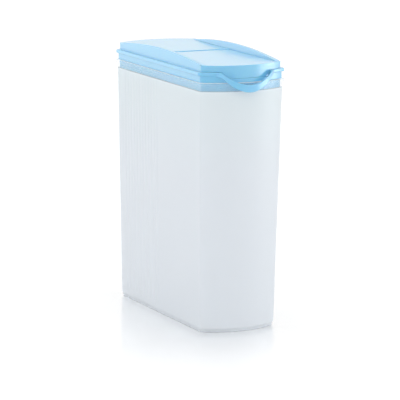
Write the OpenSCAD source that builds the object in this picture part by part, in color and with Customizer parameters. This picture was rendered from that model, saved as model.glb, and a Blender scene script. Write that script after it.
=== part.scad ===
// Tall dry-food keeper: a thin-walled container with bowed ends, a press-in lid with a
// pull strap, and a flip cap that turns on moulded pins between the lid's two side rails.
// Millimetres. Z is up, the origin is the centre of the base, and the spout is at -Y.

/* [Container] */
// Width across the flat sides, at the rim
body_w = 96; // [80:1:120]
// Length over both bowed ends, at the rim
body_l = 232; // [180:1:280]
// Height of the rim above the table
body_h = 263.5; // [160:0.5:340]
// How far each end bows out past the corners
bow = 14; // [8:0.5:20]
// Rounding of the upright corners, seen from above
corner_r = 3; // [2.5:0.5:6]
// How far each wall leans in from the rim to the base
draft = 4.5; // [0:0.5:8]
// Thickness of the side walls
wall_t = 1.6; // [1.2:0.1:2.4]
// Thickness of the floor
floor_t = 2; // [1.5:0.1:3]

/* [Foot and rim] */
// Height of the recessed foot
foot_h = 3.5; // [3:0.5:10]
// How far the foot is set in from the walls
foot_inset = 1.8; // [1:0.1:3]
// How far the rim bead stands out from the walls
rim_out = 1.8; // [1.2:0.1:2.6]
// Height of the rim bead
rim_h = 3.6; // [2.5:0.1:6]

/* [Grip flutes] */
// Distance from one upright flute to the next, on the rear of each long side
flute_pitch = 7.2; // [4:0.1:12]
// Height of the crests over the valleys
flute_relief = 0.5; // [0.2:0.05:0.8]

/* [Lid] */
// Wall thickness of the lid
lid_t = 1.8; // [1.4:0.1:2.4]
// How far the lid's sides stand in from the container's sides
side_inset = 2; // [1.5:0.1:2.5]
// How far the lid's ends stand in from the container's ends
end_inset = 1.5; // [0.3:0.1:2.5]
// Depth of the sealing skirt below the rim
plug_h = 9.5; // [6:0.5:16]
// Thickness of the sealing skirt
plug_t = 1.5; // [1.2:0.1:2]
// Gap all round between the sealing skirt and the container's wall
plug_gap = 0.15; // [0.05:0.05:0.4]
// How far the lid reaches out over the rim to rest on it
seat_w = 0.9; // [0.6:0.1:1.2]
// Height of the neck between the rim and the flange, room for the fingers to pull the lid
neck_h = 6.8; // [4:0.1:10]
// Height of the flange, whose edge is rounded
flange_h = 3.9; // [2.5:0.1:5]
// How far the flange stands out from the lid's sides
flange_side = 4; // [3:0.1:5]
// How far the flange stands out from the lid's ends
flange_end = 1.1; // [0.8:0.1:2]
// Height of the lid's wall above the flange, at the corners
dome_h = 6.8; // [6.5:0.1:12]
// Width of each side rail
rail_w = 5; // [4.4:0.1:7]
// Rise of the rails' arched tops, from the corners to the middle
rail_rise = 6.7; // [4.5:0.1:9]
// How far the rear panel lies above the flip cap
rear_step = 0.5; // [0.3:0.1:1.5]

/* [Flip cap] */
// Thickness of the cap's top
cap_t = 2; // [1.6:0.1:2.4]
// Thickness of the cap's front and side skirts
skirt_t = 1.7; // [1.4:0.1:2]
// Running gap between the cap and the lid
cap_gap = 0.4; // [0.3:0.05:0.6]
// Width of the thumb lip in the middle of the cap's front
thumb_w = 54; // [40:1:56]
// Height of the thumb lip below the rest of the front skirt
thumb_h = 6.6; // [4:0.1:7]
// Radius of the bead along the cap's hinge edge
bead_r = 2.2; // [2.1:0.1:2.6]
// Distance of the hinge line behind the middle of the lid
hinge_y = 5; // [0:0.5:20]
// Radius of the hinge pins
pin_r = 1.5; // [1.2:0.1:1.8]
// Length of each hinge pin, out from the cap's side
pin_l = 2.8; // [2:0.1:3.2]
// Radial running clearance of the pins
pin_clearance = 0.08; // [0.05:0.01:0.1]
// Gap between the hinge bead and the rear panel
hinge_gap = 1; // [0.9:0.1:2]

/* [Pour opening] */
// Width of the opening
spout_w = 68; // [50:1:68]
// Distance from the hinge line to the opening
spout_back = 12; // [11:0.5:40]
// Rounding of the opening's corners
spout_r = 8; // [3:0.5:12]
// Height of the raised lip round the opening
lip_h = 3; // [2:0.1:3.4]
// Thickness of the raised lip
lip_t = 1.5; // [1.2:0.1:2]
// Thickness of the sealing ring under the cap
seal_t = 1.4; // [1.2:0.1:2]
// Gap between the sealing ring and the raised lip
seal_gap = 0.3; // [0.2:0.05:0.5]

/* [Pull strap] */
// Distance between the strap's two roots
strap_span = 68; // [62:1:74]
// Width of the strap's mouth, between the shoulders where its upper edge turns down
strap_mouth = 59; // [50:1:60]
// Thickness of the strap
strap_t = 1.8; // [1.4:0.1:2.4]
// Clear finger gap between the middle of the strap and the lid
strap_gap = 7.2; // [5:0.1:10]
// How far the strap's upper edge sags below its shoulders
strap_sag = 12.8; // [8:0.1:15]
// Height of the strap in the middle
strap_mid_h = 7.8; // [5:0.1:9]

/* [Hidden] */
// Segments of each bowed end, each corner and each rail's arch
bow_steps = 20;
corner_steps = 4;
arch_steps = 24;
// Points along each flute
flute_steps = 4;
// Stations along the pull strap
strap_steps = 40;
// Height over which flutes fade into the wall, and their distance from foot, rim and corners
flute_fade = 6;
flute_margin = 4;
flute_clear = 2;
// Size of the small edge roundings
edge_r = 0.8;
// Rounding between the container's walls and its floor
floor_r = 4;
// Overlap that makes fused volumes one piece, or cuts break through
eps = 0.5;
// Depth of the side skirts' ends in front of the hinge line
skirt_back = 5;
// Bevel on the rear panel's front edge, which lets the cap lean back
rear_bevel = 0.8;
// Flat deck left between the lid's front wall and the lip of the pour opening
spout_clear = 1;
// Softness of the strap's shoulders, and how far they lie below the flange's top
shoulder_soft = 1.2;
shoulder_drop = 0.1;
// How far the strap's roots sink into the lid, and the thickness that they gain
root_sink = 0.2;
root_t = 2.2;

// Half sizes of the container's rim, without the bow
half_w = body_w / 2;
half_l = body_l / 2 - bow;

// As many flutes as fit between the middle of the side and the floor's rounded corner
flute_run = half_l - draft - wall_t - foot_inset - floor_r - flute_clear;
flute_count = floor(flute_run / flute_pitch);

// Half sizes of the lid's wall
dome_w = half_w - side_inset;
dome_l = half_l - end_inset;

// Heights of the lid's levels
plug_z = body_h - plug_h;
flange_z = body_h + neck_h;
deck_z = flange_z + flange_h;
cap_z = deck_z + dome_h;
rear_z = cap_z + rear_step;
under_cap_z = cap_z - cap_t;

// Depth of the recess in the lid's front wall that the thumb lip hangs in
recess_t = skirt_t + 2 * cap_gap;
recess_w = thumb_w + 2 * cap_gap;
thumb_z = deck_z + cap_gap - thumb_h;

// Cap, hinge and rear panel
cap_half_w = dome_w - rail_w - cap_gap;
hinge_z = cap_z - bead_r;
socket_l = pin_l + cap_gap * 0.5;
rear_y = hinge_y + bead_r + hinge_gap;

// Rounding of the flange's edge, which stays within what stands out at the lid's ends
flange_edge = 0.9 * flange_end;

// Pour opening, as far in from the lid's front wall as the recess, its wall and the lip need
spout_inset = recess_t + lid_t + lip_t + spout_clear;

// Points on an arc, from angle a0 to angle a1
function arc(cx, cy, r, a0, a1, n) =
    [for (i = [0:n]) let (a = a0 + (a1 - a0) * i / n) [cx + r * cos(a), cy + r * sin(a)]];

// Height of a flute's surface over the valleys, at a distance along the side
function flute(y) = (1 - cos(360 * y / flute_pitch)) / 2;

// Points along the fluted stretch of the right side, from the middle to the back
function fluted_side(x, relief) =
    [for (i = [0:flute_count * flute_steps])
        let (y = i * flute_pitch / flute_steps) [x + relief * flute(y), y]];

function mirrored_x(points) = [for (p = points) [-p[0], p[1]]];
function reversed(points) = [for (i = [len(points) - 1:-1:0]) points[i]];

// Outline seen from above: flat sides, bowed ends and rounded corners, anticlockwise.
// The half width w and half length l run to the corners before they are rounded.
function plan(w, l, r, relief = 0, fluted = false) =
    let (
        bow_r = (w * w + bow * bow) / (2 * bow),
        bow_y = l + bow - bow_r,
        cx = w - r,
        cy = bow_y + sqrt(pow(bow_r - r, 2) - cx * cx),
        a = atan2(cy - bow_y, cx),
        step = (90 - a) / bow_steps,
        side = fluted ? fluted_side(w, relief) : []
    )
    concat(
        side,
        arc(cx, cy, r, 0, a, corner_steps),
        arc(0, bow_y, bow_r, a + step, 180 - a - step, bow_steps - 1),
        arc(-cx, cy, r, 180 - a, 180, corner_steps),
        reversed(mirrored_x(side)),
        arc(-cx, -cy, r, 180, 180 + a, corner_steps),
        arc(0, -bow_y, bow_r, 180 + a + step, 360 - a - step, bow_steps - 1),
        arc(cx, -cy, r, 360 - a, 360, corner_steps)
    );

// Raises a flat outline to a height
function at_z(points, z) = [for (p = points) [p[0], p[1], z]];

// Mean of a ring's points, which closes the ring as the middle of a cap
function middle(ring) = [for (k = [0:2]) [for (p = ring) p[k]] * [for (p = ring) 1] / len(ring)];

// A closed solid through a row of rings, each with as many points as the next
module skin(rings) {
    n = len(rings[0]);
    last = len(rings) - 1;
    points = concat([for (ring = rings, p = ring) p], [middle(rings[0]), middle(rings[last])]);
    first_mid = n * (last + 1);
    sides = [for (k = [0:last - 1], i = [0:n - 1])
        let (j = (i + 1) % n, a = k * n, b = a + n)
        each [[a + i, b + i, b + j], [a + i, b + j, a + j]]];
    first_cap = [for (i = [0:n - 1]) [first_mid, i, (i + 1) % n]];
    last_cap = [for (i = [0:n - 1]) [first_mid + 1, last * n + (i + 1) % n, last * n + i]];
    polyhedron(points, concat(sides, first_cap, last_cap), convexity = 6);
}

// The lid's outline, moved in or out by its sides and its ends
module lid_outline(side = 0, end = 0) {
    polygon(plan(dome_w + side, dome_l + end, corner_r));
}

// Ring of the container at a height, set in from the leaning wall
function body_ring(z, inset = 0, relief = 0) =
    let (lean = draft * (1 - z / body_h))
    at_z(plan(
        half_w - lean - inset,
        half_l - lean - inset,
        max(corner_r - inset, edge_r),
        relief,
        true
    ), z);

// Outside of the container, from the base up to the rim
function outer_rings() = [
    body_ring(0, foot_inset + edge_r),
    body_ring(edge_r, foot_inset),
    body_ring(foot_h - edge_r, foot_inset),
    body_ring(foot_h, foot_inset - edge_r),
    body_ring(foot_h + edge_r, edge_r / 4),
    body_ring(foot_h + 2 * edge_r, 0),
    body_ring(foot_h + flute_margin, 0),
    body_ring(foot_h + flute_margin + flute_fade, 0, flute_relief),
    body_ring(body_h - rim_h - flute_margin - flute_fade, 0, flute_relief),
    body_ring(body_h - rim_h - flute_margin, 0),
    body_ring(body_h - rim_h - edge_r, 0),
    body_ring(body_h - rim_h, -rim_out + edge_r / 2),
    body_ring(body_h - rim_h + edge_r, -rim_out),
    body_ring(body_h - edge_r, -rim_out),
    body_ring(body_h, -rim_out + edge_r)
];

// Inside of the container, from the rim down to the floor
function inner_rings() = concat(
    [body_ring(body_h, wall_t)],
    [body_ring(foot_h + floor_t + edge_r, wall_t)],
    [body_ring(foot_h + floor_t, wall_t + foot_inset)],
    [for (a = [0:30:90])
        body_ring(floor_t + floor_r * (1 - sin(a)), wall_t + foot_inset + floor_r * (1 - cos(a)))]
);

module container() {
    color([0.88, 0.92, 0.97, 0.75]) skin(concat(outer_rings(), inner_rings()));
}

// Half sizes of the sealing skirt at a height, beside the leaning wall of the container
function plug_inset(z, t) = wall_t + plug_gap + t + draft * (1 - z / body_h);
function plug_ring(z, t = 0) =
    at_z(plan(half_w - plug_inset(z, t), half_l - plug_inset(z, t), corner_r), z);

// The sealing skirt, which leans with the container's wall
module sealing_skirt() {
    difference() {
        skin([plug_ring(plug_z), plug_ring(body_h)]);
        skin([plug_ring(plug_z - eps, plug_t), plug_ring(body_h + eps, plug_t)]);
    }
}

// Ring of the flange at a height, set in from its outer edge
function flange_ring(z, inset) =
    at_z(plan(dome_w + flange_side - inset, dome_l + flange_end - inset, corner_r), z);

// Flange all round the foot of the lid's wall, with a rounded edge
module flange() {
    skin(concat(
        [for (a = [0:45:90])
            flange_ring(flange_z + flange_edge * (1 - cos(a)), flange_edge * (1 - sin(a)))],
        [for (a = [90:-45:0])
            flange_ring(deck_z - flange_edge * (1 - cos(a)), flange_edge * (1 - sin(a)))]
    ));
}

// Upright slice of the arch that tops both rails, in the plane of the lid's sides
module arch_profile() {
    reach = dome_l + bow;
    arch_r = (dome_l * dome_l + rail_rise * rail_rise) / (2 * rail_rise);
    arch_z = cap_z + rail_rise - arch_r;
    a = asin(reach / arch_r);
    polygon(concat(
        [[reach, flange_z], [-reach, flange_z]],
        reversed(arc(0, arch_z, arch_r, 90 - a, 90 + a, arch_steps))
    ));
}

// The two side rails, solid bars with arched tops, which stop behind the cap's front
module rails() {
    intersection() {
        translate([0, 0, flange_z]) linear_extrude(rail_rise + rear_z)
            intersection() {
                lid_outline();
                translate([0, skirt_t + cap_gap]) lid_outline();
            }
        for (side = [-1, 1])
            translate([side * (dome_w - rail_w / 2) - rail_w / 2, 0, 0])
                rotate([90, 0, 90])
                    linear_extrude(rail_w) arch_profile();
    }
}

// The part of an outline that lies behind a line across the lid
module behind(y) {
    intersection() {
        children();
        translate([-body_w, y]) square([2 * body_w, body_l]);
    }
}

// Front edge of the rear panel, cut off at a slant
module rear_edge_bevel() {
    translate([-dome_w + rail_w, rear_y, rear_z])
        rotate([0, 90, 0])
            linear_extrude(2 * (dome_w - rail_w))
                polygon([
                    [rear_bevel, -eps], [-eps, -eps], [-eps, rear_bevel + eps],
                    [0, rear_bevel], [rear_bevel, 0]
                ]);
}

// The outside of the lid as one block
module lid_block() {
    translate([0, 0, body_h]) linear_extrude(neck_h + eps)
        polygon(plan(half_w - wall_t + seat_w, half_l - wall_t + seat_w, corner_r));
    flange();
    translate([0, 0, flange_z]) linear_extrude(deck_z - flange_z) lid_outline();
    translate([0, 0, flange_z]) linear_extrude(rear_z - flange_z) behind(rear_y) lid_outline();
    rails();
}

// The hollow inside the lid, open to the container
module lid_hollow() {
    hollow_w = half_w - wall_t - plug_gap - plug_t;
    hollow_l = dome_l - recess_t - lid_t;
    translate([0, 0, body_h - eps]) linear_extrude(deck_z - lid_t - body_h + eps)
        polygon(plan(hollow_w, hollow_l, corner_r));
    translate([0, 0, body_h]) linear_extrude(rear_z - cap_t - body_h)
        intersection() {
            behind(rear_y + lid_t) lid_outline(-lid_t, -lid_t);
            square([2 * (dome_w - rail_w), 2 * body_l], center = true);
        }
}

// Outline of the pour opening, made larger or smaller all round
module spout_outline(grow = 0) {
    offset(r = spout_r + grow) offset(delta = -spout_r)
        intersection() {
            lid_outline(-spout_inset, -spout_inset);
            translate([-spout_w / 2, hinge_y - spout_back - body_l]) square([spout_w, body_l]);
        }
}

// Room in the flange and the neck for the cap's thumb lip
module thumb_recess() {
    translate([0, 0, thumb_z - cap_gap]) linear_extrude(thumb_h + eps)
        difference() {
            translate([-recess_w / 2, -body_l]) square([recess_w, body_l]);
            lid_outline(-recess_t, -recess_t);
        }
}

// Hinge pins, or with clearance the sockets that they turn in
module hinge_pins(length, clearance = 0) {
    for (side = [-1, 1])
        translate([side * (dome_w - rail_w - cap_gap), hinge_y, hinge_z])
            rotate([0, side * 90, 0])
                cylinder(r = pin_r + clearance, h = length, $fn = 48);
}

// Smaller of two values, with a soft change from one to the other
function soft_min(a, b, k) = let (h = max(k - abs(a - b), 0) / k) min(a, b) - h * h * k / 4;

// Share of the way from the middle of the pull strap to its roots
function strap_share(x) = min(abs(x) / (strap_span / 2), 1);

// Height of the strap's upper edge: level at the shoulders, with a parabola between them
function strap_top(x) =
    let (level = deck_z - shoulder_drop, c = strap_sag / pow(strap_mouth / 2, 2))
    soft_min(level, deck_z - strap_sag + c * x * x, shoulder_soft);

// Height of the strap's band, which leaves the flange as tall as the flange
function strap_height(x) =
    flange_h + (strap_mid_h - flange_h) * pow(cos(90 * strap_share(x)), 0.8);

// Distance of the lid's bowed front face from the middle of the lid
function front_y(x) =
    let (bow_r = (dome_w * dome_w + bow * bow) / (2 * bow))
    -(dome_l + bow - bow_r + sqrt(bow_r * bow_r - x * x));

// How far the strap's outer face stands in front of the lid's wall
function strap_stand(x) =
    (strap_gap + strap_t + root_sink) * pow(1 - pow(strap_share(x), 2), 0.4) - root_sink;

// Upright section of the strap, with softened edges
function strap_section(x) =
    let (
        outer = front_y(x) - strap_stand(x),
        inner = outer + strap_t + root_t * pow(strap_share(x), 6),
        top = strap_top(x),
        bottom = top - strap_height(x),
        e = strap_t / 3
    )
    [
        [x, inner, bottom + e], [x, inner - e, bottom], [x, outer + e, bottom], [x, outer, bottom + e],
        [x, outer, top - e], [x, outer + e, top], [x, inner - e, top], [x, inner, top - e]
    ];

// The pull strap, which leaves the flange and sags in a smile before the lid's front.
// Its stations crowd towards the roots, where it curves most.
module pull_strap() {
    skin([for (i = [0:strap_steps])
        strap_section(strap_span / 2 * sin(90 - 180 * i / strap_steps))]);
}

module lid() {
    color([0.62, 0.83, 0.95]) {
        difference() {
            lid_block();
            lid_hollow();
            thumb_recess();
            rear_edge_bevel();
            translate([0, 0, body_h]) linear_extrude(deck_z) spout_outline();
            hinge_pins(socket_l + cap_gap, pin_clearance);
        }
        sealing_skirt();
        translate([0, 0, deck_z - lid_t]) linear_extrude(lid_t + lip_h)
            difference() {
                spout_outline(lip_t);
                spout_outline();
            }
        pull_strap();
    }
}

// The cap between the rails, back to a distance in front of the hinge line
module cap_panel(back = 0) {
    intersection() {
        lid_outline();
        translate([-cap_half_w, -body_l]) square([2 * cap_half_w, body_l + hinge_y - back]);
    }
}

// The cap's front wall, seen from above, round both of the lid's front corners
module cap_front() {
    difference() {
        lid_outline();
        translate([0, skirt_t]) lid_outline();
    }
}

// Skirts of the cap, down to just above the lid's deck
module cap_skirts() {
    translate([0, 0, deck_z + cap_gap]) linear_extrude(under_cap_z - deck_z - cap_gap + eps) {
        cap_front();
        difference() {
            cap_panel(skirt_back);
            translate([-cap_half_w + skirt_t, -body_l])
                square([2 * (cap_half_w - skirt_t), 2 * body_l]);
        }
    }
}

// Thumb lip, which hangs in the lid's recess behind the pull strap
module thumb_lip() {
    translate([0, 0, thumb_z]) linear_extrude(thumb_h + eps)
        intersection() {
            difference() {
                lid_outline();
                lid_outline(-skirt_t, -skirt_t);
            }
            translate([-thumb_w / 2, -body_l]) square([thumb_w, body_l]);
        }
}

module flip_cap() {
    color([0.74, 0.90, 0.98]) {
        translate([0, 0, under_cap_z]) linear_extrude(cap_t) {
            cap_front();
            cap_panel();
        }
        cap_skirts();
        thumb_lip();
        translate([0, 0, deck_z + cap_gap]) linear_extrude(under_cap_z - deck_z - cap_gap + eps)
            difference() {
                spout_outline(-seal_gap);
                spout_outline(-seal_gap - seal_t);
            }
        translate([-cap_half_w, hinge_y, hinge_z]) rotate([0, 90, 0])
            cylinder(r = bead_r, h = 2 * cap_half_w, $fn = 64);
        hinge_pins(pin_l);
    }
}

container();
lid();
flip_cap();
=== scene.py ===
"""Looks of a tall dry-food keeper: translucent container, press-in lid with a pull strap, flip cap.

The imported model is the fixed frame, in metres. The container is modelled afresh, with rounder edges
and finer grip flutes. The lid and the flip cap are finished from merged copies of their frame
meshes, with their outward hard edges softened as a mould leaves them.
"""

import logging
import math
from dataclasses import dataclass
from enum import Enum
from typing import Any, Optional, Union

import bmesh
import bpy
from mathutils import Matrix, Vector


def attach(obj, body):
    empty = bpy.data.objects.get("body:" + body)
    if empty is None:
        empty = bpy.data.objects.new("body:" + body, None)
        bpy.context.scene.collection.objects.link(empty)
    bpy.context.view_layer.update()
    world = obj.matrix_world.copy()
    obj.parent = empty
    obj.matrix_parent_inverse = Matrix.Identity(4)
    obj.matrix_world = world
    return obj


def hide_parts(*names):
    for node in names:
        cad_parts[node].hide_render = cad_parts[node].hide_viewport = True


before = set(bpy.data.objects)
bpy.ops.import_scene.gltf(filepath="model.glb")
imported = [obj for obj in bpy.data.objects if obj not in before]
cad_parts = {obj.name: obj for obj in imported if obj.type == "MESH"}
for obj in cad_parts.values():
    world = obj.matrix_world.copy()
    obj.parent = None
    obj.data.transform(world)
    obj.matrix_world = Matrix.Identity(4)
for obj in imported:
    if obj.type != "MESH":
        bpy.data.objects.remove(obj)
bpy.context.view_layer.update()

MM = 0.001

log = logging.getLogger("keeper")

Operand = Union["Socket", float]
Triple = tuple[float, float, float]
Colour = Triple

ORIGIN: Triple = (0.0, 0.0, 0.0)
BLACK: Colour = (0.0, 0.0, 0.0)
WHITE: Colour = (1.0, 1.0, 1.0)


class Slot(Enum):
    """Material slot names."""

    CONTAINER = "translucent_plastic"
    LID = "lid_plastic"
    CAP = "cap_plastic"


class Body(Enum):
    """Bodies that the pieces ride on."""

    CONTAINER = "container"
    LID = "lid"
    CAP = "flip_cap"


class Glow(Enum):
    """What a lamp shows in: both gloss and body colour, or one of them."""

    ALL = "all"
    GLOSS = "gloss"
    BODY = "body"


class Socket:
    """A shader output that Python's operators work on; each operator adds a Math node."""

    def __init__(self, shader: "Shader", link: bpy.types.NodeSocket) -> None:
        """Wraps an output socket of a shader's node."""
        self.shader = shader
        self.link = link

    def maths(self, operation: str, other: Operand = 0.0, flipped: bool = False) -> "Socket":
        """Adds one Math node.

        Args:
            operation: The Math node's operation.
            other: The second operand.
            flipped: Whether the operands change places.

        Returns:
            The node's result.
        """
        pair = (other, self) if flipped else (self, other)
        node = self.shader.node("ShaderNodeMath", {"operation": operation}, {0: pair[0], 1: pair[1]})
        return Socket(self.shader, node.outputs[0])

    def __add__(self, other: Operand) -> "Socket":
        """Sum."""
        return self.maths("ADD", other)

    def __radd__(self, other: Operand) -> "Socket":
        """Sum, with the number first."""
        return self.maths("ADD", other, flipped=True)

    def __sub__(self, other: Operand) -> "Socket":
        """Difference."""
        return self.maths("SUBTRACT", other)

    def __rsub__(self, other: Operand) -> "Socket":
        """Difference, with the number first."""
        return self.maths("SUBTRACT", other, flipped=True)

    def __mul__(self, other: Operand) -> "Socket":
        """Product."""
        return self.maths("MULTIPLY", other)

    def __rmul__(self, other: Operand) -> "Socket":
        """Product, with the number first."""
        return self.maths("MULTIPLY", other, flipped=True)

    def at_most(self, other: Operand) -> "Socket":
        """Smaller of the two."""
        return self.maths("MINIMUM", other)

    def at_least(self, other: Operand) -> "Socket":
        """Larger of the two."""
        return self.maths("MAXIMUM", other)


class Shader:
    """A material, or the world, whose nodes are added by one method."""

    MIX_FACTOR = 0
    MIX_LOW = 6
    MIX_HIGH = 7
    MIX_COLOUR = 2

    def __init__(self, owner: Union[bpy.types.Material, bpy.types.World], output: str) -> None:
        """Clears the owner's nodes and adds an output.

        Args:
            owner: The material or world to draw.
            output: The type of its output node.
        """
        owner.use_nodes = True
        self.tree = owner.node_tree
        self.tree.nodes.clear()
        self.out = self.tree.nodes.new(output)

    def node(
        self,
        kind: str,
        settings: Optional[dict[str, Any]] = None,
        inputs: Optional[dict[Union[str, int], Any]] = None,
    ) -> bpy.types.Node:
        """Adds one node.

        Args:
            kind: The node's type.
            settings: Properties of the node, which are set first.
            inputs: Values or links of its sockets, by name or number.

        Returns:
            The new node.
        """
        node = self.tree.nodes.new(kind)
        for name, value in (settings or {}).items():
            setattr(node, name, value)
        for name, value in (inputs or {}).items():
            self.connect(node.inputs[name], value)
        return node

    def connect(self, socket: bpy.types.NodeSocket, value: Any) -> None:
        """Links a socket or sets its own value.

        Args:
            socket: The input socket.
            value: A wrapped socket, an output socket, a number, a vector or a colour.
        """
        if isinstance(value, Socket):
            value = value.link
        if isinstance(value, bpy.types.NodeSocket):
            self.tree.links.new(value, socket)
        elif isinstance(value, tuple) and socket.type == "RGBA":
            socket.default_value = (*value[:3], 1.0)
        else:
            socket.default_value = value

    def position(self) -> bpy.types.NodeSocket:
        """Object coordinates, in metres."""
        return self.node("ShaderNodeTexCoord").outputs["Object"]

    def axis(self, name: str) -> Socket:
        """One object coordinate, X, Y or Z, in metres."""
        parts = self.node("ShaderNodeSeparateXYZ", None, {"Vector": self.position()})
        return Socket(self, parts.outputs[name])

    def fade(self, value: Socket, start: float, stop: float) -> Socket:
        """Soft change from 0, where the value is at the start, to 1, where it is at the stop."""
        node = self.node(
            "ShaderNodeMapRange",
            {"interpolation_type": "SMOOTHSTEP"},
            {"Value": value, "From Min": start, "From Max": stop},
        )
        return Socket(self, node.outputs[0])

    def vector(self, operation: str, first: Any, second: Triple = ORIGIN) -> bpy.types.Node:
        """Adds a Vector Math node, whose outputs are Vector and Value."""
        return self.node("ShaderNodeVectorMath", {"operation": operation}, {0: first, 1: second})

    def noise(
        self,
        scale: float,
        detail: float = 2.0,
        stretch: Optional[Triple] = None,
        roughness: float = 0.55,
    ) -> Socket:
        """Noise of 0 to 1 on object coordinates.

        Args:
            scale: Waves in a metre.
            detail: Octaves of finer noise.
            stretch: Scale along each axis, where the noise is drawn out.
            roughness: Share that each finer octave keeps.

        Returns:
            The noise's value.
        """
        where = self.position()
        if stretch is not None:
            where = self.node("ShaderNodeMapping", None, {"Vector": where, "Scale": stretch}).outputs[0]
        noise = self.node(
            "ShaderNodeTexNoise",
            {"noise_dimensions": "3D"},
            {"Vector": where, "Scale": scale, "Detail": detail, "Roughness": roughness},
        )
        return Socket(self, noise.outputs["Fac"])

    def mix(self, factor: Socket, low: Any, high: Colour) -> bpy.types.NodeSocket:
        """Colour between two colours, by the share of the second one."""
        node = self.node(
            "ShaderNodeMix",
            {"data_type": "RGBA", "clamp_factor": True},
            {self.MIX_FACTOR: factor, self.MIX_LOW: low, self.MIX_HIGH: high},
        )
        return node.outputs[self.MIX_COLOUR]

    def bump(self, height: Socket, strength: float, distance: float) -> bpy.types.NodeSocket:
        """Normal that follows a height of 0 to 1; the distance is the relief in metres."""
        node = self.node(
            "ShaderNodeBump", None, {"Height": height, "Strength": strength, "Distance": distance}
        )
        return node.outputs[0]

    def surface(self, kind: str, inputs: dict[Union[str, int], Any]) -> bpy.types.NodeSocket:
        """Adds a node such as a Principled BSDF, and gives its shader output."""
        return self.node(kind, None, inputs).outputs[0]

    def finish(self, surface: bpy.types.NodeSocket) -> None:
        """Links the surface to the output."""
        self.tree.links.new(surface, self.out.inputs["Surface"])


def new_material(name: str) -> tuple[bpy.types.Material, Shader]:
    """Adds an empty material, and gives it with its shader."""
    material = bpy.data.materials.new(name)
    return material, Shader(material, "ShaderNodeOutputMaterial")


@dataclass(frozen=True)
class MouldedPlastic:
    """Satin coloured plastic: fine mould grain, faint flow clouds and a soft inner glow."""

    name: str
    colour: Colour
    deep_colour: Colour
    roughness: float = 0.32
    cloud_scale: float = 22.0
    cloud_detail: float = 3.0
    cloud_roughness: float = 0.05
    grain_scale: float = 2600.0
    grain_relief: float = 0.02 * MM
    grain_strength: float = 0.25
    glow: float = 0.35
    glow_reach: Triple = (0.4, 1.2, 2.4)
    gloss: float = 1.0
    gloss_roughness: float = 0.2
    index: float = 1.6

    def build(self) -> bpy.types.Material:
        """Makes the material.

        Returns:
            The material.
        """
        material, shader = new_material(self.name)
        clouds = shader.noise(self.cloud_scale, self.cloud_detail)
        grain = shader.noise(self.grain_scale)
        body = shader.node(
            "ShaderNodeBsdfPrincipled",
            {"subsurface_method": "RANDOM_WALK"},
            {
                "Base Color": shader.mix(clouds, self.deep_colour, self.colour),
                "Roughness": self.roughness + self.cloud_roughness * clouds,
                "IOR": self.index,
                "Coat Weight": self.gloss,
                "Coat Roughness": self.gloss_roughness,
                "Coat IOR": self.index,
                "Subsurface Weight": self.glow,
                "Subsurface Radius": self.glow_reach,
                "Subsurface Scale": MM,
                "Normal": shader.bump(grain, self.grain_strength, self.grain_relief),
            },
        )
        shader.finish(body.outputs[0])
        return material


@dataclass(frozen=True)
class TranslucentPlastic:
    """Milky bare plastic, lit from within; a nearly clear band below the rim shows what is behind it, and
    a painted blue glow from the lid fades down the upper wall.
    """

    name: str
    colour: Colour
    cloud_colour: Colour
    painted_lid_glow_colour: Colour
    roughness: float = 0.36
    index: float = 1.49
    cover: float = 0.8
    clear_cover: float = 0.12
    clear_from: float = 253.7 * MM
    clear_to: float = 254.5 * MM
    lip_cover: float = 0.5
    lip_from: float = 262.5 * MM
    lip_to: float = 263.5 * MM
    painted_glow_from: float = 150.0 * MM
    painted_glow_to: float = 262.0 * MM
    glow: float = 0.25
    glow_reach: Triple = (9.0, 9.5, 10.0)
    cloud_scale: float = 9.0
    cloud_detail: float = 3.0
    cloud_stretch: Triple = (1.0, 1.0, 0.45)
    cloud_roughness: float = 0.06
    cloud_cover: float = 0.04
    grain_scale: float = 1800.0
    grain_relief: float = 0.015 * MM
    grain_strength: float = 0.2

    def build(self) -> bpy.types.Material:
        """Makes the material.

        Returns:
            The material.
        """
        material, shader = new_material(self.name)
        clouds = shader.noise(self.cloud_scale, self.cloud_detail, self.cloud_stretch)
        grain = shader.noise(self.grain_scale)
        height = shader.axis("Z")
        clear = shader.fade(height, self.clear_from, self.clear_to)
        lip = shader.fade(height, self.lip_from, self.lip_to)
        # Painted glow: the wall's colour turns bluer from 150 mm up to the rim. It stands in for the blue
        # lid's light shining down through the wall.
        painted_glow = shader.fade(height, self.painted_glow_from, self.painted_glow_to)
        milk = shader.mix(clouds, self.cloud_colour, self.colour)
        wall = self.cover + self.cloud_cover * clouds
        body = shader.node(
            "ShaderNodeBsdfPrincipled",
            {"subsurface_method": "RANDOM_WALK"},
            {
                "Base Color": shader.mix(painted_glow, milk, self.painted_lid_glow_colour),
                "Roughness": self.roughness + self.cloud_roughness * clouds,
                "IOR": self.index,
                "Subsurface Weight": self.glow,
                "Subsurface Radius": self.glow_reach,
                "Subsurface Scale": MM,
                "Alpha": wall - (self.cover - self.clear_cover) * clear + self.lip_cover * lip,
                "Normal": shader.bump(grain, self.grain_strength, self.grain_relief),
            },
        )
        shader.finish(body.outputs[0])
        return material


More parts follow.
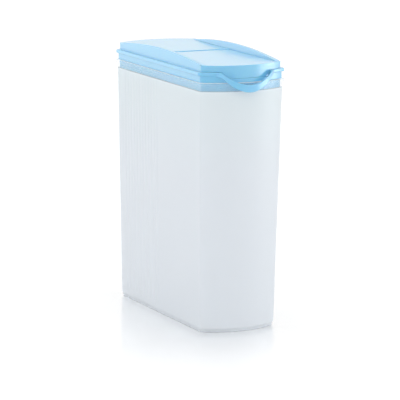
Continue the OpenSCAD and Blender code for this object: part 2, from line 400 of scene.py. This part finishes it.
@dataclass(frozen=True)
class StudioFloor:
    """White table that keeps shadows, polished round the keeper so that it mirrors the keeper's foot.

    Polish and the painted shadow are full on the foot's box and fade out over the reach: the painted
    shadow dims the lift there, a contact shadow painted round the foot. The lift is the light
    that the camera, gloss and clear plastic see in the table, which makes its far parts white.
    """

    name: str = "studio_floor"
    colour: Colour = (0.9, 0.9, 0.9)
    foot: Triple = (41.0 * MM, 108.0 * MM, 0.0)
    reach: float = 380.0 * MM
    roughness: float = 0.5
    mirror_roughness: float = 0.05
    polish: float = 0.72
    polish_curve: float = 2.4
    lift: float = 0.16
    painted_shadow_depth: float = 0.6
    painted_shadow_curve: float = 6.0

    def nearness(self, shader: Shader) -> Socket:
        """How near a point of the table is to the foot.

        Args:
            shader: The table's shader.

        Returns:
            1 on the foot's box, falling evenly to 0 at the end of the reach.
        """
        flat = shader.vector("MULTIPLY", shader.position(), (1.0, 1.0, 0.0))
        folded = shader.vector("ABSOLUTE", flat.outputs["Vector"])
        beyond = shader.vector("SUBTRACT", folded.outputs["Vector"], self.foot)
        outside = shader.vector("MAXIMUM", beyond.outputs["Vector"])
        away = shader.vector("LENGTH", outside.outputs["Vector"]).outputs["Value"]
        return (1.0 - Socket(shader, away) * (1.0 / self.reach)).at_least(0.0)

    def build(self) -> bpy.types.Material:
        """Makes the material.

        Returns:
            The material.
        """
        material, shader = new_material(self.name)
        rays = shader.node("ShaderNodeLightPath")
        seen = Socket(shader, rays.outputs["Is Camera Ray"])
        mirrored = Socket(shader, rays.outputs["Is Glossy Ray"])
        through = Socket(shader, rays.outputs["Is Transmission Ray"])
        near = self.nearness(shader)
        # Painted shadow: near the foot the lift's colour turns black, so the table is darker round the
        # keeper's foot.
        painted_shadow_share = self.painted_shadow_depth * near.maths("POWER", self.painted_shadow_curve)
        table = shader.surface(
            "ShaderNodeBsdfPrincipled",
            {
                "Base Color": self.colour,
                "Roughness": self.roughness,
                "Emission Color": shader.mix(painted_shadow_share, WHITE, BLACK),
                "Emission Strength": self.lift * (seen + mirrored + through).at_most(1.0),
            },
        )
        mirror = shader.surface(
            "ShaderNodeBsdfPrincipled",
            {"Base Color": WHITE, "Metallic": 1.0, "Roughness": self.mirror_roughness},
        )
        share = self.polish * near.maths("POWER", self.polish_curve)
        shader.finish(shader.surface("ShaderNodeMixShader", {0: share, 1: table, 2: mirror}))
        return material


def add_piece(bm: bmesh.types.BMesh, name: str, material: bpy.types.Material) -> bpy.types.Object:
    """Turns a bmesh into a smooth-shaded object at the origin.

    Args:
        bm: The finished bmesh, which is freed.
        name: Name of the piece.
        material: Its material.

    Returns:
        The new object.
    """
    mesh = bpy.data.meshes.new(name)
    bm.to_mesh(mesh)
    bm.free()
    mesh.materials.append(material)
    mesh.polygons.foreach_set("material_index", [0] * len(mesh.polygons))
    mesh.shade_smooth()
    piece = bpy.data.objects.new(name, mesh)
    bpy.context.scene.collection.objects.link(piece)
    return piece


def weigh_normals(piece: bpy.types.Object, weight: int = 60) -> None:
    """Lets the large faces set the shading, so that flat walls look flat beside their rounded edges.

    Args:
        piece: The piece to shade.
        weight: How strongly the large faces count, 1 to 100.
    """
    modifier = piece.modifiers.new("even_shading", "WEIGHTED_NORMAL")
    modifier.keep_sharp = True
    modifier.weight = weight


def declare(piece: bpy.types.Object, body: Body, node: str) -> None:
    """Tells the frame what a finished piece is.

    Args:
        piece: The piece.
        body: The body that it rides on.
        node: The node that it stands for.
    """
    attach(piece, body.value)
    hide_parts(node)


@dataclass
class KeeperBody:
    """The thin-walled container: foot, leaning walls with grip flutes, and rim bead. Millimetres."""

    half_w: float = 48.0
    half_l: float = 102.0
    height: float = 263.5
    bow: float = 14.0
    bow_steps: int = 32
    side_cuts: int = 12
    corner: float = 3.0
    least_corner: float = 0.5
    corner_steps: int = 7
    draft: float = 4.5
    wall: float = 1.6
    floor: float = 2.0
    floor_round: float = 4.0
    foot_h: float = 3.5
    foot_in: float = 1.2
    foot_sweep: float = 50.0
    rim_out: float = 1.8
    rim_h: float = 3.6
    rim_sweep: float = 70.0
    rim_root_drop: float = 0.24
    rim_root_out: float = 0.2
    edge: float = 0.8
    mouth_edge: float = 0.4
    round_steps: int = 4
    flute_pitch: float = 7.2
    flute_count: int = 12
    flute_cuts: int = 8
    flute_relief: float = 0.5
    flute_margin: float = 4.0
    flute_fade: float = 6.0
    fade_steps: int = 4
    weld: float = 0.001
    corner_reach: float = 0.01

    def ring(
        self, bm: bmesh.types.BMesh, z: float, inset: float, relief: float
    ) -> list[bmesh.types.BMEdge]:
        """Draws one closed level of the container: two straight sides and two bowed ends.

        Args:
            bm: The bmesh to draw in.
            z: Height of the level.
            inset: How far it lies inside the leaning wall.
            relief: Height of the flutes' crests at this level.

        Returns:
            The ring's edges.
        """
        old_edges = set(bm.edges)
        old_verts = set(bm.verts)
        lean = self.draft * (1.0 - z / self.height)
        across = self.half_w - lean - inset
        along = self.half_l - lean - inset
        bow_r = (across * across + self.bow * self.bow) / (2.0 * self.bow)
        sweep = 2.0 * math.asin(across / bow_r)
        centre_y = along + self.bow - bow_r
        for sign in (1.0, -1.0):
            self.side(bm, z, sign * across, along, sign * relief)
            bmesh.ops.spin(
                bm,
                geom=[bm.verts.new((across, sign * along, z))],
                cent=(0.0, sign * centre_y, z),
                axis=(0.0, 0.0, 1.0),
                angle=sign * sweep,
                steps=self.bow_steps,
            )
        new_verts = [v for v in bm.verts if v not in old_verts]
        bmesh.ops.remove_doubles(bm, verts=new_verts, dist=self.weld)
        new_verts = [v for v in bm.verts if v not in old_verts]
        corners = [
            vert
            for vert in new_verts
            if abs(abs(vert.co.x) - across) + abs(abs(vert.co.y) - along) < self.corner_reach
        ]
        turn = math.pi / 2.0 - sweep / 2.0
        radius = max(self.corner - inset, self.least_corner)
        bmesh.ops.bevel(
            bm,
            geom=corners,
            offset=radius * math.tan(turn / 2.0),
            offset_type="OFFSET",
            segments=self.corner_steps,
            profile=0.5,
            affect="VERTICES",
            material=-1,
        )
        return [edge for edge in bm.edges if edge not in old_edges]

    def side(self, bm: bmesh.types.BMesh, z: float, x: float, half: float, relief: float) -> None:
        """Draws one long side of a level, with the flutes' waves on its rear half.

        Args:
            bm: The bmesh to draw in.
            z: Height of the level.
            x: The side's place across the container.
            half: Half of the side's length.
            relief: Height of the flutes' crests, away from the container.
        """
        run = self.flute_pitch * self.flute_count
        line = [bm.verts.new((x, y, z)) for y in (-half, 0.0, run, half)]
        front, fluted, _ = [bm.edges.new(pair) for pair in zip(line, line[1:])]
        bmesh.ops.subdivide_edges(bm, edges=[front], cuts=self.side_cuts)
        waves = bmesh.ops.subdivide_edges(bm, edges=[fluted], cuts=self.flute_cuts * self.flute_count - 1)
        for vert in (v for v in waves["geom_inner"] if isinstance(v, bmesh.types.BMVert)):
            vert.co.x += relief * (1.0 - math.cos(2.0 * math.pi * vert.co.y / self.flute_pitch)) / 2.0

    def rounded(
        self, z: float, inset: float, r: float, start: float, stop: float
    ) -> list[tuple[float, float]]:
        """Levels along a rounded edge.

        Args:
            z: Height of the rounding's centre.
            inset: Inset of the rounding's centre.
            r: Its radius.
            start: First angle in degrees, 0 pointing out and 90 up.
            stop: Last angle.

        Returns:
            Height and inset of each level.
        """
        turns = [start + (stop - start) * step / self.round_steps for step in range(self.round_steps + 1)]
        return [
            (z + r * math.sin(math.radians(turn)), inset - r * math.cos(math.radians(turn)))
            for turn in turns
        ]

    def foot_levels(self) -> list[tuple[float, float]]:
        """Levels from the table up the foot to the wall.

        Returns:
            Height and inset of each level.
        """
        e = self.edge
        levels = self.rounded(e, self.foot_in + e, e, -90.0, 0.0)
        levels += [(self.foot_h - e, self.foot_in)]
        return levels + self.rounded(self.foot_h + e, e, e, -self.foot_sweep, 0.0)

    def flute_levels(self) -> list[tuple[float, float, float]]:
        """Levels at which the flutes rise from the wall and sink back into it.

        Returns:
            Height, inset and relief of each level.
        """
        low = self.foot_h + self.flute_margin
        high = self.height - self.rim_h - self.flute_margin
        shares = [step / self.fade_steps for step in range(self.fade_steps + 1)]
        rise = []
        fall = []
        for share in shares:
            relief = self.flute_relief * (1.0 - math.cos(math.pi * share)) / 2.0
            rise.append((low + self.flute_fade * share, 0.0, relief))
            fall.append((high - self.flute_fade * share, 0.0, relief))
        return rise + fall[::-1]

    def rim_levels(self) -> list[tuple[float, float]]:
        """Levels up the rim bead and over the mouth's edge.

        Returns:
            Height and inset of each level.
        """
        e = self.edge
        m = self.mouth_edge
        bead = self.height - self.rim_h
        levels = [(bead - e, 0.0), (bead - self.rim_root_drop, -self.rim_root_out)]
        levels += self.rounded(bead + e, e - self.rim_out, e, -self.rim_sweep, 0.0)
        levels += self.rounded(self.height - e, e - self.rim_out, e, 0.0, 90.0)
        return levels + self.rounded(self.height - m, self.wall - m, m, 90.0, 180.0)

    def inner_levels(self) -> list[tuple[float, float]]:
        """Levels down the inner wall and round to the floor.

        Returns:
            Height and inset of each level.
        """
        step = self.foot_h + self.floor
        inset = self.wall + self.foot_in
        r = self.floor_round
        levels = [(step + self.edge, self.wall), (step, inset)]
        return levels + self.rounded(self.floor + r, inset + r, r, 0.0, -90.0)

    def levels(self) -> list[tuple[float, float, float]]:
        """Every level, up the outside and down the inside.

        Returns:
            Height, inset and flute relief of each level.
        """
        outside = [(z, inset, 0.0) for z, inset in self.foot_levels()]
        inside = [(z, inset, 0.0) for z, inset in self.rim_levels() + self.inner_levels()]
        return outside + self.flute_levels() + inside

    def build(self, material: bpy.types.Material) -> bpy.types.Object:
        """Models the container, which stands for its frame node.

        Args:
            material: The container's material.

        Returns:
            The container.
        """
        bm = bmesh.new()
        rings = [self.ring(bm, *level) for level in self.levels()]
        for below, above in zip(rings, rings[1:]):
            bmesh.ops.bridge_loops(bm, edges=below + above)
        for end in (rings[0], rings[-1]):
            bmesh.ops.contextual_create(bm, geom=end)
        bmesh.ops.scale(bm, vec=(MM, MM, MM), verts=bm.verts[:])
        bmesh.ops.recalc_face_normals(bm, faces=bm.faces[:])
        piece = add_piece(bm, "container_shell", material)
        weigh_normals(piece)
        declare(piece, Body.CONTAINER, "container")
        return piece


@dataclass
class SoftenedPiece:
    """A piece finished from a copy of its frame mesh, with its outward hard edges rounded."""

    node: str
    name: str
    body: Body
    slot: Slot
    edge: float = 0.35 * MM
    segments: int = 3
    weld: float = 0.002 * MM
    flat: float = math.radians(0.4)
    sharp: float = math.radians(32.0)

    def reshape(self, bm: bmesh.types.BMesh) -> None:
        """Readies the merged mesh for rounding: joins the triangles of each flat face."""
        bmesh.ops.dissolve_limit(
            bm,
            angle_limit=self.flat,
            use_dissolve_boundaries=False,
            verts=bm.verts[:],
            edges=bm.edges[:],
        )

    def kept_sharp(self, edge: bmesh.types.BMEdge) -> bool:
        """Whether a hard edge stays sharp, as every hollow one does."""
        return not edge.is_convex

    def build(self, material: bpy.types.Material) -> bpy.types.Object:
        """Copies, merges and softens the node's mesh.

        Args:
            material: The piece's material.

        Returns:
            The finished piece, which stands for the node.
        """
        bm = bmesh.new()
        bm.from_mesh(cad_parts[self.node].data)
        bmesh.ops.remove_doubles(bm, verts=bm.verts[:], dist=self.weld)
        self.reshape(bm)
        hard = [e for e in bm.edges if len(e.link_faces) == 2 and e.calc_face_angle() > self.sharp]
        for edge in hard:
            edge.smooth = not self.kept_sharp(edge)
        bmesh.ops.bevel(
            bm,
            geom=[e for e in hard if e.smooth],
            offset=self.edge,
            offset_type="OFFSET",
            segments=self.segments,
            profile=0.5,
            affect="EDGES",
            clamp_overlap=False,
            material=-1,
        )
        piece = add_piece(bm, self.name, material)
        weigh_normals(piece)
        declare(piece, self.body, self.node)
        return piece


@dataclass
class Lid(SoftenedPiece):
    """The press-in lid, whose rails' inner sides lean outwards, as a mould needs.

    The rails' inner sides stand at rail_x on both sides, and lean from the height rail_foot up.
    """

    node: str = "lid"
    name: str = "lid_moulding"
    body: Body = Body.LID
    slot: Slot = Slot.LID
    rail_x: float = 41.0 * MM
    rail_reach: float = 0.05 * MM
    rail_foot: float = 281.9 * MM
    rail_lean: float = math.tan(math.radians(20.0))

    def reshape(self, bm: bmesh.types.BMesh) -> None:
        """Joins flat faces, then leans the rails' inner sides outwards from just above the rear panel.

        Args:
            bm: The lid's mesh.
        """
        super().reshape(bm)
        bmesh.ops.bisect_plane(
            bm,
            geom=bm.verts[:] + bm.edges[:] + bm.faces[:],
            plane_co=(0.0, 0.0, self.rail_foot),
            plane_no=(0.0, 0.0, 1.0),
        )
        for vert in bm.verts:
            above = vert.co.z - self.rail_foot
            if above > 0.0 and abs(abs(vert.co.x) - self.rail_x) < self.rail_reach:
                vert.co.x += math.copysign(above * self.rail_lean, vert.co.x)


@dataclass
class FlipCap(SoftenedPiece):
    """The flip cap, whose lower edges are let down so that the parting line is fine.

    The hems are the heights of those edges in the frame mesh.
    """

    node: str = "flip_cap"
    name: str = "flip_cap_moulding"
    body: Body = Body.CAP
    slot: Slot = Slot.CAP
    hems: tuple[float, ...] = (274.6 * MM, 268.0 * MM)
    hem_drop: float = 0.3 * MM

    def reshape(self, bm: bmesh.types.BMesh) -> None:
        """Lets down the cap's lower edges, then joins flat faces.

        Args:
            bm: The cap's mesh.
        """
        for level in self.hems:
            verts = [v for v in bm.verts if abs(v.co.z - level) < self.weld]
            bmesh.ops.translate(bm, vec=(0.0, 0.0, -self.hem_drop), verts=verts)
        super().reshape(bm)

    def kept_sharp(self, edge: bmesh.types.BMEdge) -> bool:
        """Whether a hard edge stays sharp: every hollow one, and those of the hems.

        Args:
            edge: The hard edge.

        Returns:
            True where it isn't rounded.
        """
        heights = [v.co.z for v in edge.verts]
        levels = [level - self.hem_drop for level in self.hems]
        hem = any(all(abs(height - level) < self.weld for height in heights) for level in levels)
        return hem or super().kept_sharp(edge)


@dataclass(frozen=True)
class Softbox:
    """A square lamp: where it hangs, the point that it faces, its side in metres and its watts."""

    name: str
    place: Triple
    aim: Triple
    size: float
    power: float
    glow: Glow = Glow.ALL

    def hang(self) -> None:
        """Adds the lamp to the scene."""
        data = bpy.data.lights.new(self.name, "AREA")
        data.shape = "SQUARE"
        data.size = self.size
        data.energy = self.power
        lamp = bpy.data.objects.new(self.name, data)
        lamp.visible_diffuse = self.glow is not Glow.GLOSS
        lamp.visible_glossy = self.glow is not Glow.BODY
        lamp.location = self.place
        lamp.rotation_euler = (Vector(self.aim) - Vector(self.place)).to_track_quat("-Z", "Y").to_euler()
        bpy.context.scene.collection.objects.link(lamp)


@dataclass(frozen=True)
class BlackCard:
    """A low black card before the keeper, which only gloss shows; it deepens the lid's front."""

    width: float = 0.9
    height: float = 0.12
    place: Triple = (-0.3, -1.1, 0.06)
    colour: Colour = (0.01, 0.01, 0.01)
    fibre_colour: Colour = (0.02, 0.02, 0.02)
    fibre_scale: float = 400.0
    roughness: float = 0.9

    def stand(self) -> None:
        """Adds the card to the scene."""
        bm = bmesh.new()
        bmesh.ops.create_grid(bm, x_segments=2, y_segments=2, size=0.5)
        bmesh.ops.scale(bm, vec=(self.width, self.height, 1.0), verts=bm.verts[:])
        upright = Matrix.Rotation(math.pi / 2.0, 3, "X")
        bmesh.ops.rotate(bm, cent=ORIGIN, matrix=upright, verts=bm.verts[:])
        bmesh.ops.translate(bm, vec=self.place, verts=bm.verts[:])
        material, shader = new_material("card_black")
        paper = shader.mix(shader.noise(self.fibre_scale), self.colour, self.fibre_colour)
        shader.finish(
            shader.surface("ShaderNodeBsdfPrincipled", {"Base Color": paper, "Roughness": self.roughness})
        )
        card = add_piece(bm, "black_card", material)
        card.visible_camera = False
        card.visible_diffuse = False
        card.visible_transmission = False
        card.visible_shadow = False


@dataclass
class Studio:
    """Camera, lamps, table, card and white surroundings."""

    azimuth: float = math.radians(-26.35)
    elevation: float = math.radians(10.56)
    roll: float = math.radians(0.53)
    distance: float = 2.8454
    target: Triple = (0.00373, 0.0, 0.1203)
    lens: float = 238.1
    sensor: float = 36.0
    sight: float = 50.0
    floor_size: float = 12.0
    floor_drop: float = 0.02 * MM
    softboxes: tuple[Softbox, ...] = (
        Softbox("overhead_softbox", place=(-0.2, 0.3, 1.8), aim=(0.0, 0.0, 0.2), size=1.6, power=3.0),
        Softbox("left_softbox", place=(-1.1, 1.7, 0.5), aim=(0.0, 0.0, 0.2), size=1.1, power=2.5),
        Softbox("right_softbox", place=(1.7, -0.55, 0.5), aim=(0.0, 0.0, 0.2), size=1.0, power=2.0),
        Softbox(
            "right_card",
            place=(1.05, -0.62, 0.3),
            aim=(0.0, -0.1, 0.27),
            size=0.7,
            power=4.5,
            glow=Glow.GLOSS,
        ),
        Softbox(
            "low_fill",
            place=(-0.5, -1.0, 0.12),
            aim=(0.0, 0.0, 0.04),
            size=0.5,
            power=0.6,
            glow=Glow.BODY,
        ),
    )

    def camera(self) -> None:
        """Places the camera at the photograph's viewing angle."""
        a, e = self.azimuth, self.elevation
        back = Vector((math.sin(a) * math.cos(e), -math.cos(a) * math.cos(e), math.sin(e)))
        right = Vector((math.cos(a), math.sin(a), 0.0))
        level = Matrix((right, back.cross(right), back)).transposed()
        turned = level @ Matrix.Rotation(self.roll, 3, "Z")
        data = bpy.data.cameras.new("camera")
        data.lens = self.lens
        data.sensor_width = self.sensor
        data.clip_end = self.sight
        camera = bpy.data.objects.new("camera", data)
        place = Vector(self.target) + back * self.distance
        camera.matrix_world = Matrix.Translation(place) @ turned.to_4x4()
        bpy.context.scene.collection.objects.link(camera)
        bpy.context.scene.camera = camera

    def surroundings(self) -> None:
        """Sets a plain white world, which is both light and background."""
        world = bpy.data.worlds.new("studio")
        bpy.context.scene.world = world
        shader = Shader(world, "ShaderNodeOutputWorld")
        shader.finish(shader.surface("ShaderNodeBackground", {"Color": WHITE, "Strength": 1.0}))

    def floor(self) -> None:
        """Lays the table top that the keeper stands on."""
        bm = bmesh.new()
        bmesh.ops.create_grid(bm, x_segments=4, y_segments=4, size=self.floor_size / 2.0)
        bmesh.ops.translate(bm, vec=(0.0, 0.0, -self.floor_drop), verts=bm.verts[:])
        add_piece(bm, "studio_floor", StudioFloor().build())

    def build(self) -> None:
        """Sets up the whole studio."""
        self.camera()
        self.surroundings()
        self.floor()
        BlackCard().stand()
        for softbox in self.softboxes:
            softbox.hang()


def main() -> None:
    """Builds the studio and every piece of the keeper."""
    logging.basicConfig(level=logging.INFO, format="%(name)s: %(message)s")
    bpy.context.scene.view_settings.view_transform = "Standard"
    Studio().build()
    milky = TranslucentPlastic(
        "milky_plastic",
        colour=(0.875, 0.935, 1.0),
        cloud_colour=(0.86, 0.925, 1.0),
        painted_lid_glow_colour=(0.85, 0.95, 1.0),
    ).build()
    sky_blue = MouldedPlastic(
        "sky_blue_plastic", colour=(0.19, 0.56, 0.82), deep_colour=(0.175, 0.54, 0.8)
    ).build()
    cap_blue = MouldedPlastic(
        "cap_blue_plastic", colour=(0.2, 0.57, 0.83), deep_colour=(0.185, 0.55, 0.81)
    ).build()
    for piece in (KeeperBody().build(milky), Lid().build(sky_blue), FlipCap().build(cap_blue)):
        log.info("%s: %d faces", piece.name, len(piece.data.polygons))


if __name__ == "__main__":
    main()
